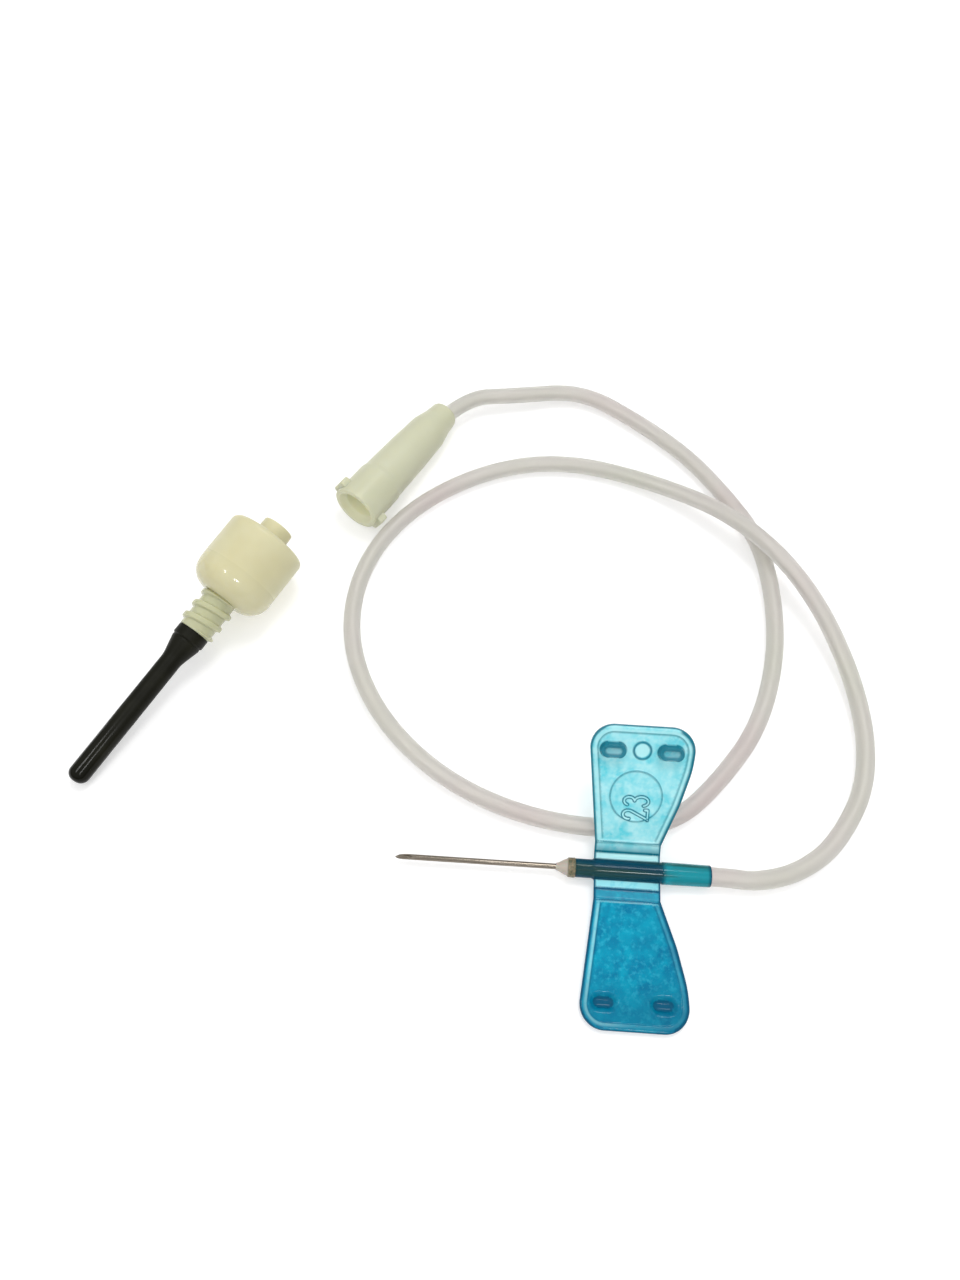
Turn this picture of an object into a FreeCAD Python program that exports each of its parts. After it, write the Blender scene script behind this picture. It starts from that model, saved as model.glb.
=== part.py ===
"""Winged blood collection set: steel cannula in a barrel with two soft wings,
a loop of tubing, a female luer connector, and a multi-sample adapter beside it.
Millimetres. +Z is up, the needle points along -X, everything lies on z = 0."""
import FreeCAD
import Part
import Sketcher
import math
import os

SIZES = [
    # where the pieces lie on the table
    ("hub_x", 22.86, "front face of the barrel"),
    ("hub_y", -12.18, "axis of the barrel"),
    ("connector_x", 2.67, "tail end of the connector"),
    ("connector_y", 51.85, "tail end of the connector"),
    ("connector_heading", -121.1, "direction of the connector's mouth, degrees from +X"),
    ("adapter_x", -37.68, "tip of the rubber sleeve"),
    ("adapter_y", -5.7, "tip of the rubber sleeve"),
    ("adapter_heading", 58.87, "direction of the adapter's luer tip, degrees from +X"),
    ("table_gap", 0.02, "air under a piece that lies on the table"),
    # front cannula, 23 gauge
    ("needle_od", 0.64, "outer diameter of the front cannula"),
    ("needle_id", 0.35, "bore of the front cannula"),
    ("needle_reach", 21.0, "tip of the cannula ahead of the barrel's face"),
    ("needle_seat", 11.0, "length of the cannula inside the barrel"),
    ("bevel_length", 2.6, "length of the main bevel"),
    ("lancet_length", 1.15, "length of the two side grinds"),
    ("lancet_turn", 38.0, "turn of the side grinds about the axis, degrees"),
    ("bond_gap", 0.01, "clearance of a bonded steel or tube joint, radial"),
    # adhesive at the barrel's face
    ("glue_reach", 2.23, "tip of the glue cone ahead of the barrel's face"),
    ("glue_ring_length", 0.85, "length of the collar of adhesive on the barrel's face"),
    ("glue_ring_od", 2.26, "diameter of that collar"),
    ("glue_cone_od", 2.08, "diameter of the cone's base"),
    ("glue_tip_od", 0.9, "diameter of the cone's tip"),
    # barrel with its tail
    ("barrel_front_od", 2.16, "diameter ahead of the wings"),
    ("barrel_od", 2.46, "diameter between the wings"),
    ("wing_front", 2.15, "start of the webs behind the barrel's face"),
    ("wing_rear", 9.8, "end of the webs behind the barrel's face"),
    ("barrel_step", 10.0, "step from the barrel to its tail"),
    ("tail_od", 2.58, "diameter of the tail at the step"),
    ("tail_end_od", 2.48, "diameter of the tail at its end"),
    ("barrel_length", 15.55, "length of the barrel with its tail"),
    ("barrel_chamfer", 0.12, "chamfer of the barrel's ends"),
    ("tube_stop", 11.25, "end of the tube inside the tail, from the barrel's face"),
    # wings, measured outwards from the barrel's axis
    ("web_thickness", 0.35, "thickness of the web that bends"),
    ("fold_line", 1.7, "where the web bends, from the axis"),
    ("fold_gap", 0.05, "air between the stub on the barrel and the wing's round edge"),
    ("web_reach", 2.2, "end of the web"),
    ("neck_reach", 3.3, "end of the neck"),
    ("neck_thickness", 0.6, "thickness of the neck"),
    ("wing_thickness", 0.9, "thickness of the plate"),
    ("wing_reach", 17.3, "outer end of the plate"),
    ("wing_tip_front", 0.5, "front edge at the outer end, behind the barrel's face"),
    ("wing_tip_rear", 13.1, "rear edge at the outer end"),
    ("wing_flare_rear", 12.75, "rear edge at the end of the flare"),
    ("wing_flare_end", 12.5, "end of the flare, from the axis"),
    ("wing_waist_rear", 11.6, "rear edge half way along the flare"),
    ("wing_waist", 8.2, "half way along the flare, from the axis"),
    ("wing_corner_front", 2.7, "radius of the front outer corner"),
    ("wing_corner_rear", 2.8, "radius of the rear outer corner"),
    ("wing_flare_radius", 12.0, "radius of the flare's bends"),
    ("wing_rim", 0.3, "rounding of the plate's rim"),
    ("far_wing_tilt", 33.0, "the far wing's lift above flat, degrees"),
    # pegs on the far wing, pockets in the near one
    ("peg_out", 14.4, "centres of the pegs, from the axis"),
    ("peg_front", 3.45, "centre of the front peg, behind the barrel's face"),
    ("peg_rear", 10.05, "centre of the rear peg"),
    ("peg_length", 3.05, "length of a peg"),
    ("peg_width", 1.85, "width of a peg"),
    ("peg_height", 1.0, "height of a peg"),
    ("peg_taper", 7.0, "draft of a peg, degrees"),
    ("pocket_gap", 0.15, "clearance round a peg in its pocket"),
    ("pocket_depth", 0.6, "depth of a pocket"),
    ("boss_at", 6.8, "centre of the small ring, behind the barrel's face"),
    ("boss_out", 14.45, "centre of the small ring, from the axis"),
    ("boss_od", 2.2, "diameter of the small ring"),
    ("ring_at", 6.45, "centre of the large ring, behind the barrel's face"),
    ("ring_out", 9.05, "centre of the large ring, from the axis"),
    ("ring_od", 6.2, "diameter of the large ring"),
    ("ring_width", 0.25, "width of the raised lines"),
    ("ring_height", 0.1, "height of the raised lines"),
    # tubing
    ("tube_od", 2.2, "outer diameter of the tubing"),
    ("tube_id", 1.2, "bore of the tubing"),
    ("lead_at_barrel", 1.72, "straight tube behind the barrel's tail"),
    ("lead_at_connector", 3.55, "straight tube ahead of the connector's tail"),
    # connector, measured from its tail end
    ("con_length", 21.0, "length of the connector"),
    ("con_tail_od", 3.9, "diameter at the tail end"),
    ("con_tail_length", 2.3, "end of the slim tail"),
    ("con_neck_od", 4.45, "diameter of the slim tail at its step"),
    ("con_step_end", 4.4, "end of the step up to the grip"),
    ("con_grip_od", 5.45, "diameter of the grip behind the step"),
    ("con_waist_at", 9.2, "a station half way along the grip"),
    ("con_waist_od", 5.95, "diameter at that station"),
    ("con_rim_at", 15.0, "start of the rim at the mouth"),
    ("con_rim_od", 6.6, "diameter of the rim at its start"),
    ("con_front_od", 6.3, "diameter of the grip just behind the rim"),
    ("con_rim_rise", 0.6, "length of the rise to the rim"),
    ("con_mouth_od", 6.65, "diameter at the mouth"),
    ("con_tail_round", 0.75, "rounding of the tail end"),
    ("con_socket_depth", 7.0, "depth of the tube socket"),
    ("con_through", 1.2, "through hole"),
    ("lead_in_od", 5.5, "diameter of the bore's lead-in at the face"),
    ("lead_in_depth", 0.9, "depth of the bore's lead-in"),
    ("luer_mouth", 4.3, "luer bore at the mouth"),
    ("luer_depth", 9.0, "depth of the luer bore"),
    ("luer_slope", 0.06, "luer taper, diameter per length"),
    ("lug_span", 7.8, "span across the two lugs"),
    ("lug_width", 3.0, "width of a lug"),
    ("lug_length", 1.3, "length of a lug along the axis"),
    ("lug_setback", 0.6, "front of the lugs behind the mouth's face"),
    ("lug_round", 0.4, "rounding of the lugs' corners"),
    ("connector_roll", -30.0, "turn of the lugs about the axis, degrees"),
    # adapter, measured from the tip of the rubber sleeve
    ("sleeve_od", 2.64, "diameter of the sleeve"),
    ("sleeve_bore", 1.5, "bore of the sleeve round the rear cannula"),
    ("sleeve_tip_wall", 1.5, "rubber ahead of the sleeve's bore"),
    ("sleeve_tip_round", 1.1, "rounding of the sleeve's tip"),
    ("flare_start", 18.5, "end of the straight sleeve"),
    ("flare_end", 21.6, "end of the sleeve's flare"),
    ("sleeve_root_od", 4.15, "diameter of the sleeve's thick root"),
    ("sleeve_end", 22.8, "end of the sleeve, at the thread"),
    ("nipple_od", 2.8, "nipple under the sleeve's root"),
    ("nipple_tip_od", 1.9, "front of the nipple"),
    ("nipple_start", 19.3, "front of the nipple"),
    ("nipple_cone", 1.0, "length of the nipple's cone"),
    ("nipple_gap", 0.03, "clearance of the sleeve on the nipple, radial"),
    ("core_od", 4.2, "core of the holder thread"),
    ("thread_end", 28.1, "end of the thread, at the shoulder"),
    ("collar_od", 10.65, "diameter of the collar"),
    ("shoulder_round", 2.9, "rounding of the collar's shoulder"),
    ("collar_rim", 38.1, "rim of the collar"),
    ("collar_bore", 8.2, "inside of the collar"),
    ("collar_floor", 31.0, "floor of the collar's inside"),
    ("collar_lip", 0.8, "rounding of the collar's rim"),
    ("male_tip_at", 40.15, "tip of the male luer cone"),
    ("male_tip_od", 4.15, "diameter of the male luer cone's tip"),
    ("flow_bore", 1.8, "flow bore of the adapter"),
    # rear cannula
    ("rear_od", 0.72, "outer diameter of the rear cannula"),
    ("rear_id", 0.42, "bore of the rear cannula"),
    ("rear_tip", 1.75, "tip of the rear cannula, from the sleeve's tip"),
    ("rear_seat", 27.0, "end of the rear cannula inside the adapter"),
    ("rear_bevel", 2.2, "length of the rear cannula's bevel"),
    ("bead_length", 0.7, "length of the bead of adhesive on the nipple"),
    ("bead_od", 1.4, "diameter of that bead at the nipple"),
    ("bead_tip_od", 0.85, "diameter of that bead at its tip"),
    ("overshoot", 0.5, "how far a cutting profile runs past the solid"),
]

# The tube's way over the table, from the barrel to the connector. The two high
# points carry it over its own other end.
TUBE_WAY = [
    (43.86, -12.46, 1.2), (48.77, -11.07, 1.12), (53.57, -7.37, 1.12), (58.21, 0.97, 1.12),
    (58.06, 12.61, 1.12), (52.46, 25.51, 3.85), (43.86, 35.71, 3.85), (32.16, 42.91, 1.12),
    (19.56, 45.61, 1.12), (8.56, 42.91, 1.12), (-1.14, 36.01, 1.12), (-6.54, 27.01, 1.12),
    (-7.34, 16.51, 1.12), (-3.24, 6.61, 1.12), (4.66, -1.29, 1.12), (14.56, -5.99, 1.12),
    (25.56, -7.59, 1.12), (34.46, -6.19, 1.12), (40.16, -0.49, 1.12), (45.46, 7.11, 1.12),
    (48.16, 17.21, 1.12), (48.16, 27.21, 1.12), (46.46, 34.91, 1.12), (42.26, 41.51, 1.12),
    (37.46, 47.51, 1.12), (31.16, 52.71, 1.12), (22.26, 58.31, 1.25), (12.66, 56.11, 2.0),
]
# where the tube ends inside the connector's tail, as a share of the socket
TUBE_SEAT = 0.93
ARC_SHARE = 0.45


class Size:
    """A number together with the words that tie it to the sheet."""

    def __init__(self, number, words):
        self.number = float(number)
        self.words = words

    def __add__(self, other):
        other = as_size(other)
        return Size(self.number + other.number, "(%s + %s)" % (self.words, other.words))

    def __sub__(self, other):
        other = as_size(other)
        return Size(self.number - other.number, "(%s - %s)" % (self.words, other.words))

    def __mul__(self, other):
        other = as_size(other)
        return Size(self.number * other.number, "(%s * %s)" % (self.words, other.words))

    def __truediv__(self, other):
        other = as_size(other)
        return Size(self.number / other.number, "(%s / %s)" % (self.words, other.words))

    def __neg__(self):
        return Size(-self.number, "(0 - %s)" % self.words)


def as_size(value):
    return value if isinstance(value, Size) else Size(value, repr(float(value)))


def cosine(angle):
    return Size(math.cos(math.radians(angle.number)), "cos(%s)" % angle.words)


def sine(angle):
    return Size(math.sin(math.radians(angle.number)), "sin(%s)" % angle.words)


def arc_tangent(ratio):
    """An angle in degrees."""
    degrees = math.degrees(math.atan(ratio.number))
    return Size(degrees, "(atan(%s) / 1 deg)" % ratio.words)


def arc_sine(ratio):
    """An angle in degrees."""
    degrees = math.degrees(math.asin(ratio.number))
    return Size(degrees, "(asin(%s) / 1 deg)" % ratio.words)


doc = FreeCAD.newDocument("winged_set")
sheet = doc.addObject("Spreadsheet::Sheet", "Sizes")
for row, (alias, number, meaning) in enumerate(SIZES, start=1):
    sheet.set("A%d" % row, alias)
    sheet.set("B%d" % row, str(number))
    sheet.set("C%d" % row, meaning)
    sheet.setAlias("B%d" % row, alias)
doc.recompute()
S = {alias: Size(getattr(sheet, alias), "Sizes.%s" % alias) for alias, number, meaning in SIZES}


def bind(thing, name, size):
    thing.setExpression(name, as_size(size).words)


def new_body(name):
    body = doc.addObject("PartDesign::Body", name)
    body.Label = name
    return body


def new_sketch(body, name, role, lift=None, turn=None):
    """A sketch on one of the body's own planes, lifted off it or turned about its first axis."""
    sketch = body.newObject("Sketcher::SketchObject", name)
    plane = [each for each in body.Origin.OriginFeatures if each.Role == role][0]
    sketch.AttachmentSupport = [(plane, "")]
    sketch.MapMode = "FlatFace"
    if lift is not None:
        bind(sketch, "AttachmentOffset.Base.z", lift)
    if turn is not None:
        words = "placement(vector(0; 0; 0); rotation(vector(1; 0; 0); %s))" % turn.words
        sketch.setExpression("AttachmentOffset", words)
    return sketch


def pin(sketch, line, end, x, y):
    """Fix one point of the sketch at x, y."""
    for kind, axis, value in (("DistanceX", -2, x), ("DistanceY", -1, y)):
        if not isinstance(value, Size) and value == 0:
            sketch.addConstraint(Sketcher.Constraint("PointOnObject", line, end, axis))
        else:
            value = as_size(value)
            made = sketch.addConstraint(
                Sketcher.Constraint(kind, -1, 1, line, end, value.number))
            bind(sketch, "Constraints[%d]" % made, value)


def polygon(body, name, role, points, lift=None, turn=None):
    """A closed outline with straight sides; every corner is set by sizes."""
    sketch = new_sketch(body, name, role, lift, turn)
    corners = [FreeCAD.Vector(as_size(x).number, as_size(y).number, 0) for x, y in points]
    count = len(corners)
    for number in range(count):
        line = Part.LineSegment(corners[number], corners[(number + 1) % count])
        sketch.addGeometry(line, False)
    for number in range(count):
        sketch.addConstraint(
            Sketcher.Constraint("Coincident", number, 2, (number + 1) % count, 1))
    for number, (x, y) in enumerate(points):
        pin(sketch, number, 1, x, y)
    return sketch


def oblong(body, name, role, x, y, length, width, lift=None):
    """A slot-shaped outline, its long way along the sketch's first axis."""
    sketch = new_sketch(body, name, role, lift)
    radius = width / 2
    reach = (length - width) / 2
    right, left = x + reach, x - reach
    up = FreeCAD.Vector(0, radius.number, 0)
    ends = [FreeCAD.Vector(each.number, y.number, 0) for each in (right, left)]
    way = FreeCAD.Vector(0, 0, 1)
    quarter = math.pi / 2
    sketch.addGeometry(Part.LineSegment(ends[1] - up, ends[0] - up), False)
    circle = Part.Circle(ends[0], way, radius.number)
    sketch.addGeometry(Part.ArcOfCircle(circle, -quarter, quarter), False)
    sketch.addGeometry(Part.LineSegment(ends[0] + up, ends[1] + up), False)
    circle = Part.Circle(ends[1], way, radius.number)
    sketch.addGeometry(Part.ArcOfCircle(circle, quarter, 3 * quarter), False)
    for first, second in ((0, 1), (1, 2), (2, 3), (3, 0)):
        sketch.addConstraint(Sketcher.Constraint("Tangent", first, 2, second, 1))
    pin(sketch, 1, 3, right, y)
    pin(sketch, 3, 3, left, y)
    made = sketch.addConstraint(Sketcher.Constraint("Radius", 1, radius.number))
    bind(sketch, "Constraints[%d]" % made, radius)
    sketch.addConstraint(Sketcher.Constraint("Equal", 1, 3))
    return sketch


def circles(body, name, role, x, y, diameters, lift=None):
    """Circles about one centre."""
    sketch = new_sketch(body, name, role, lift)
    for number, diameter in enumerate(diameters):
        centre = FreeCAD.Vector(x.number, y.number, 0)
        circle = Part.Circle(centre, FreeCAD.Vector(0, 0, 1), diameter.number / 2)
        sketch.addGeometry(circle, False)
        pin(sketch, number, 3, x, y)
        made = sketch.addConstraint(
            Sketcher.Constraint("Radius", number, diameter.number / 2))
        bind(sketch, "Constraints[%d]" % made, diameter / 2)
    return sketch


def revolve(body, sketch, name, cut=False):
    """Turn a profile about the body's X axis."""
    kind = "PartDesign::Groove" if cut else "PartDesign::Revolution"
    feature = body.newObject(kind, name)
    feature.Profile = sketch
    feature.ReferenceAxis = (sketch, ["H_Axis"])
    feature.Angle = 360
    return feature


def pad(body, sketch, name, length, centred=False, taper=None, inwards=False):
    feature = body.newObject("PartDesign::Pad", name)
    feature.Profile = sketch
    bind(feature, "Length", length)
    feature.Midplane = centred
    feature.Reversed = inwards
    if taper is not None:
        bind(feature, "TaperAngle", -taper)
    return feature


def pocket(body, sketch, name, depth=None):
    feature = body.newObject("PartDesign::Pocket", name)
    feature.Profile = sketch
    if depth is None:
        feature.Type = "ThroughAll"
        feature.SideType = "Symmetric"
    else:
        bind(feature, "Length", depth)
    return feature


def dress(body, kind, name, size, wanted):
    """Round or chamfer the edges of the latest feature that the test picks."""
    doc.recompute()
    base = body.Tip
    names = []
    for number, edge in enumerate(base.Shape.Edges, start=1):
        if wanted(edge):
            names.append("Edge%d" % number)
    assert names, "%s finds no edge" % name
    feature = body.newObject("PartDesign::" + kind, name)
    feature.Base = (base, names)
    bind(feature, "Radius" if kind == "Fillet" else "Size", size)
    return feature


def round_edge_at(x, radius):
    """Picks the full circle about the X axis at a station x."""
    def wanted(edge):
        if not isinstance(edge.Curve, Part.Circle):
            return False
        centre = edge.Curve.Center
        near = abs(centre.x - x.number) < 1e-3 and math.hypot(centre.y, centre.z) < 1e-3
        return near and abs(edge.Curve.Radius - radius.number) < 1e-3
    return wanted


def place(body, x, y, z, heading=None, pitch=None, roll=None):
    """Lay a body on the table: heading about Z, pitch lifts its X axis, roll about its X axis."""
    turns = ["rotation(vector(0; 0; 1); %s)" % (as_size(heading or 0).words)]
    if pitch is not None:
        turns.append("rotation(vector(0; 1; 0); %s)" % (-pitch).words)
    if roll is not None:
        turns.append("rotation(vector(1; 0; 0); %s)" % roll.words)
    words = "placement(vector(%s; %s; %s); %s)"
    base = tuple(as_size(each).words for each in (x, y, z))
    body.setExpression("Placement", words % (base + (" * ".join(turns),)))


# heights and tilts that follow from what touches the table
axis_height = S["tail_od"] / 2
tube_radius = S["tube_od"] / 2
hub_x, hub_y = S["hub_x"], S["hub_y"]


def cannula(name, tip, end, outer, inner, bevel, lancet=None):
    """A steel tube along X with its point at the low end, ground so the bevel looks up."""
    body = new_body(name)
    radius = outer / 2
    over = S["overshoot"]
    wall = polygon(body, name + "_wall", "XZ_Plane",
                   [(tip, inner / 2), (end, inner / 2), (end, radius), (tip, radius)])
    revolve(body, wall, name + "_tube")
    rise = outer * (over / bevel)
    grind = polygon(body, name + "_bevel", "XZ_Plane",
                    [(tip - over, -radius - rise), (tip + bevel + over, radius + rise),
                     (tip - over, radius + rise)])
    pocket(body, grind, name + "_grind")
    if lancet is not None:
        for side, turn in (("left", S["lancet_turn"]), ("right", -S["lancet_turn"])):
            low = -radius * cosine(S["lancet_turn"])
            lift = (radius - low) * (over / lancet)
            grind = polygon(body, "%s_%s" % (name, side), "XZ_Plane",
                            [(tip - over, low - lift), (tip + lancet + over, radius + lift),
                             (tip - over, radius + lift)], turn=turn)
            pocket(body, grind, "%s_%s_grind" % (name, side))
    return body


def build_front():
    """Cannula, adhesive and barrel share one axis; x runs back from the barrel's face."""
    needle = cannula("needle_cannula", -S["needle_reach"], S["needle_seat"],
                     S["needle_od"], S["needle_id"], S["bevel_length"], S["lancet_length"])
    place(needle, hub_x, hub_y, axis_height)

    bore = S["needle_od"] / 2 + S["bond_gap"]
    glue = new_body("needle_adhesive")
    ring = -S["glue_ring_length"]
    profile = polygon(glue, "glue_profile", "XZ_Plane", [
        (-S["glue_reach"], bore), (0, bore), (0, S["glue_ring_od"] / 2),
        (ring, S["glue_ring_od"] / 2), (ring, S["glue_cone_od"] / 2),
        (-S["glue_reach"], S["glue_tip_od"] / 2)])
    revolve(glue, profile, "glue_cone")
    place(glue, hub_x, hub_y, axis_height)

    hub = new_body("wing_hub")
    front, middle = S["barrel_front_od"] / 2, S["barrel_od"] / 2
    tail, end = S["tail_od"] / 2, S["tail_end_od"] / 2
    profile = polygon(hub, "barrel_profile", "XZ_Plane", [
        (0, 0), (S["barrel_length"], 0), (S["barrel_length"], end),
        (S["barrel_step"], tail), (S["barrel_step"], middle), (S["wing_front"], middle),
        (S["wing_front"], front), (0, front)])
    revolve(hub, profile, "barrel")
    dress(hub, "Chamfer", "face_chamfer", S["barrel_chamfer"], round_edge_at(as_size(0), front))
    dress(hub, "Chamfer", "tail_chamfer", S["barrel_chamfer"],
          round_edge_at(S["barrel_length"], end))
    stub = S["fold_line"] - S["web_thickness"] / 2 - S["fold_gap"]
    sides = polygon(hub, "stub_outline", "XY_Plane", [
        (S["wing_front"], -stub), (S["wing_rear"], -stub),
        (S["wing_rear"], stub), (S["wing_front"], stub)])
    pad(hub, sides, "web_stubs", S["web_thickness"], centred=True)
    socket = tube_radius + S["bond_gap"]
    past = S["barrel_length"] + S["overshoot"]
    bores = polygon(hub, "bore_profile", "XZ_Plane", [
        (-S["overshoot"], 0), (past, 0), (past, socket), (S["tube_stop"], socket),
        (S["tube_stop"], bore), (-S["overshoot"], bore)])
    revolve(hub, bores, "bores", cut=True)
    place(hub, hub_x, hub_y, axis_height)


def wing(name, side, tilt, pegs):
    """One wing in its own frame: the fold line is the X axis, outwards is +Y or -Y."""
    body = new_body(name)
    fold = S["fold_line"]

    def out(distance):
        return (distance - fold) * side

    half = S["wing_thickness"] / 2
    corners = [
        (S["wing_front"], S["neck_reach"]), (S["wing_tip_front"], S["wing_reach"]),
        (S["wing_tip_rear"], S["wing_reach"]), (S["wing_flare_rear"], S["wing_flare_end"]),
        (S["wing_waist_rear"], S["wing_waist"]), (S["wing_rear"], S["neck_reach"])]
    outline = polygon(body, name + "_outline", "XY_Plane", [(x, out(w)) for x, w in corners])
    pad(body, outline, name + "_plate", S["wing_thickness"], centred=True)

    def upright_at(*spots):
        def wanted(edge):
            low, high = edge.Vertexes[0].Point, edge.Vertexes[-1].Point
            if abs(low.x - high.x) + abs(low.y - high.y) > 1e-4:
                return False
            for x, w in spots:
                if abs(low.x - x.number) < 1e-3 and abs(low.y - out(w).number) < 1e-3:
                    return True
            return False
        return wanted

    dress(body, "Fillet", name + "_front_corner", S["wing_corner_front"],
          upright_at(corners[1]))
    dress(body, "Fillet", name + "_rear_corner", S["wing_corner_rear"], upright_at(corners[2]))
    dress(body, "Fillet", name + "_flare", S["wing_flare_radius"],
          upright_at(corners[3], corners[4]))

    def on_rim(edge):
        box = edge.BoundBox
        flat = box.ZLength < 1e-4 and abs(abs(box.ZMin) - half.number) < 1e-4
        inner = abs(out(S["neck_reach"]).number)
        return flat and max(abs(box.YMin), abs(box.YMax)) > inner + 1e-3

    dress(body, "Fillet", name + "_rim", S["wing_rim"], on_rim)
    # the neck and the thin web run in under the plate's root
    inset = S["wing_rim"]
    for part, start, thickness in (("neck", S["web_reach"], S["neck_thickness"]),
                                   ("web", S["fold_line"], S["web_thickness"])):
        end = S["neck_reach"] + inset if part == "neck" else S["web_reach"] + inset
        strip = polygon(body, "%s_%s_outline" % (name, part), "XY_Plane", [
            (S["wing_front"], out(start)), (S["wing_rear"], out(start)),
            (S["wing_rear"], out(end)), (S["wing_front"], out(end))])
        pad(body, strip, "%s_%s" % (name, part), thickness, centred=True)
    # the round edge that the wing folds on
    zero = as_size(0)
    edge = circles(body, name + "_fold_circle", "YZ_Plane", zero, zero, [S["web_thickness"]],
                   lift=S["wing_front"])
    pad(body, edge, name + "_fold_edge", S["wing_rear"] - S["wing_front"])
    centres = [(S["peg_front"], out(S["peg_out"])), (S["peg_rear"], out(S["peg_out"]))]
    if pegs:
        for number, (x, y) in enumerate(centres, start=1):
            shape = oblong(body, "peg_outline_%d" % number, "XY_Plane", x, y,
                           S["peg_length"], S["peg_width"], lift=half)
            pad(body, shape, "peg_%d" % number, S["peg_height"], taper=S["peg_taper"])
        for ring, x, w, size in (("small_ring", S["boss_at"], S["boss_out"], S["boss_od"]),
                                 ("large_ring", S["ring_at"], S["ring_out"], S["ring_od"])):
            lines = circles(body, ring + "_circles", "XY_Plane", x, out(w),
                            [size, size - S["ring_width"] * 2], lift=half)
            pad(body, lines, ring, S["ring_height"])
    else:
        gap = S["pocket_gap"] * 2
        for number, (x, y) in enumerate(centres, start=1):
            shape = oblong(body, "pocket_outline_%d" % number, "XY_Plane", x, y,
                           S["peg_length"] + gap, S["peg_width"] + gap, lift=half)
            pocket(body, shape, "pocket_%d" % number, S["pocket_depth"])
    place(body, hub_x, hub_y + fold * side, axis_height, roll=tilt * side)


def build_wings():
    wing("far_wing", 1, S["far_wing_tilt"], True)
    # the near wing droops until its outer end touches the table
    drop = axis_height - S["wing_thickness"] / 2 - S["table_gap"]
    droop = arc_sine(drop / (S["wing_reach"] - S["fold_line"]))
    wing("near_wing", -1, -droop, False)


def connector_lie():
    """Pitch and height of the connector: it rests on its grip and its rim."""
    waist, rim = S["con_waist_od"] / 2, S["con_rim_od"] / 2
    run = S["con_rim_at"] + S["con_rim_rise"] - S["con_waist_at"]
    pitch = arc_tangent((rim - waist) / run)
    height = waist * cosine(pitch) - S["con_waist_at"] * sine(pitch) + S["table_gap"]
    return pitch, height


def build_connector():
    body = new_body("luer_connector")
    mouth = S["con_length"]
    tail_end = S["con_tail_length"]
    profile = polygon(body, "connector_profile", "XZ_Plane", [
        (0, 0), (mouth, 0), (mouth, S["con_mouth_od"] / 2),
        (S["con_rim_at"] + S["con_rim_rise"], S["con_rim_od"] / 2),
        (S["con_rim_at"], S["con_front_od"] / 2),
        (S["con_waist_at"], S["con_waist_od"] / 2),
        (S["con_step_end"], S["con_grip_od"] / 2),
        (tail_end, S["con_neck_od"] / 2), (0, S["con_tail_od"] / 2)])
    revolve(body, profile, "connector_grip")
    dress(body, "Fillet", "tail_round", S["con_tail_round"],
          round_edge_at(as_size(0), S["con_tail_od"] / 2))
    lugs = polygon(body, "lug_outline", "YZ_Plane", [
        (-S["lug_span"] / 2, -S["lug_width"] / 2), (S["lug_span"] / 2, -S["lug_width"] / 2),
        (S["lug_span"] / 2, S["lug_width"] / 2), (-S["lug_span"] / 2, S["lug_width"] / 2)],
        lift=mouth - S["lug_setback"])
    pad(body, lugs, "mouth_lugs", S["lug_length"], inwards=True)

    def lug_corner(edge):
        box = edge.BoundBox
        outer = abs(abs(box.YMin) - S["lug_span"].number / 2) < 1e-3
        high = abs(abs(box.ZMin) - S["lug_width"].number / 2) < 1e-3
        return outer and high and box.ZLength + box.YLength < 1e-3

    dress(body, "Fillet", "lug_rounds", S["lug_round"], lug_corner)
    over = S["overshoot"]
    slope = S["luer_slope"] / 2
    luer = S["luer_mouth"] / 2
    floor = mouth - S["luer_depth"]
    socket = tube_radius + S["bond_gap"]
    hole = S["con_through"] / 2
    depth = S["con_socket_depth"]
    lead_in = S["lead_in_depth"]
    widening = (S["lead_in_od"] / 2 - luer + lead_in * slope) / lead_in
    bores = polygon(body, "connector_bores", "XZ_Plane", [
        (-over, 0), (mouth + over, 0), (mouth + over, S["lead_in_od"] / 2 + over * widening),
        (mouth - lead_in, luer - lead_in * slope),
        (floor, luer - S["luer_depth"] * slope), (floor, hole),
        (depth, hole), (depth, socket), (-over, socket)])
    revolve(body, bores, "connector_bore", cut=True)
    pitch, height = connector_lie()
    place(body, S["connector_x"], S["connector_y"], height, S["connector_heading"], pitch,
          S["connector_roll"])


def adapter_lie():
    """Pitch and height of the adapter: the sleeve's tip and the collar's back carry it."""
    sleeve, collar = S["sleeve_od"] / 2, S["collar_od"] / 2
    run = S["thread_end"] + S["shoulder_round"] - S["sleeve_tip_round"]
    pitch = arc_tangent((collar - sleeve) / run)
    return pitch, sleeve * cosine(pitch) + S["table_gap"]


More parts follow.
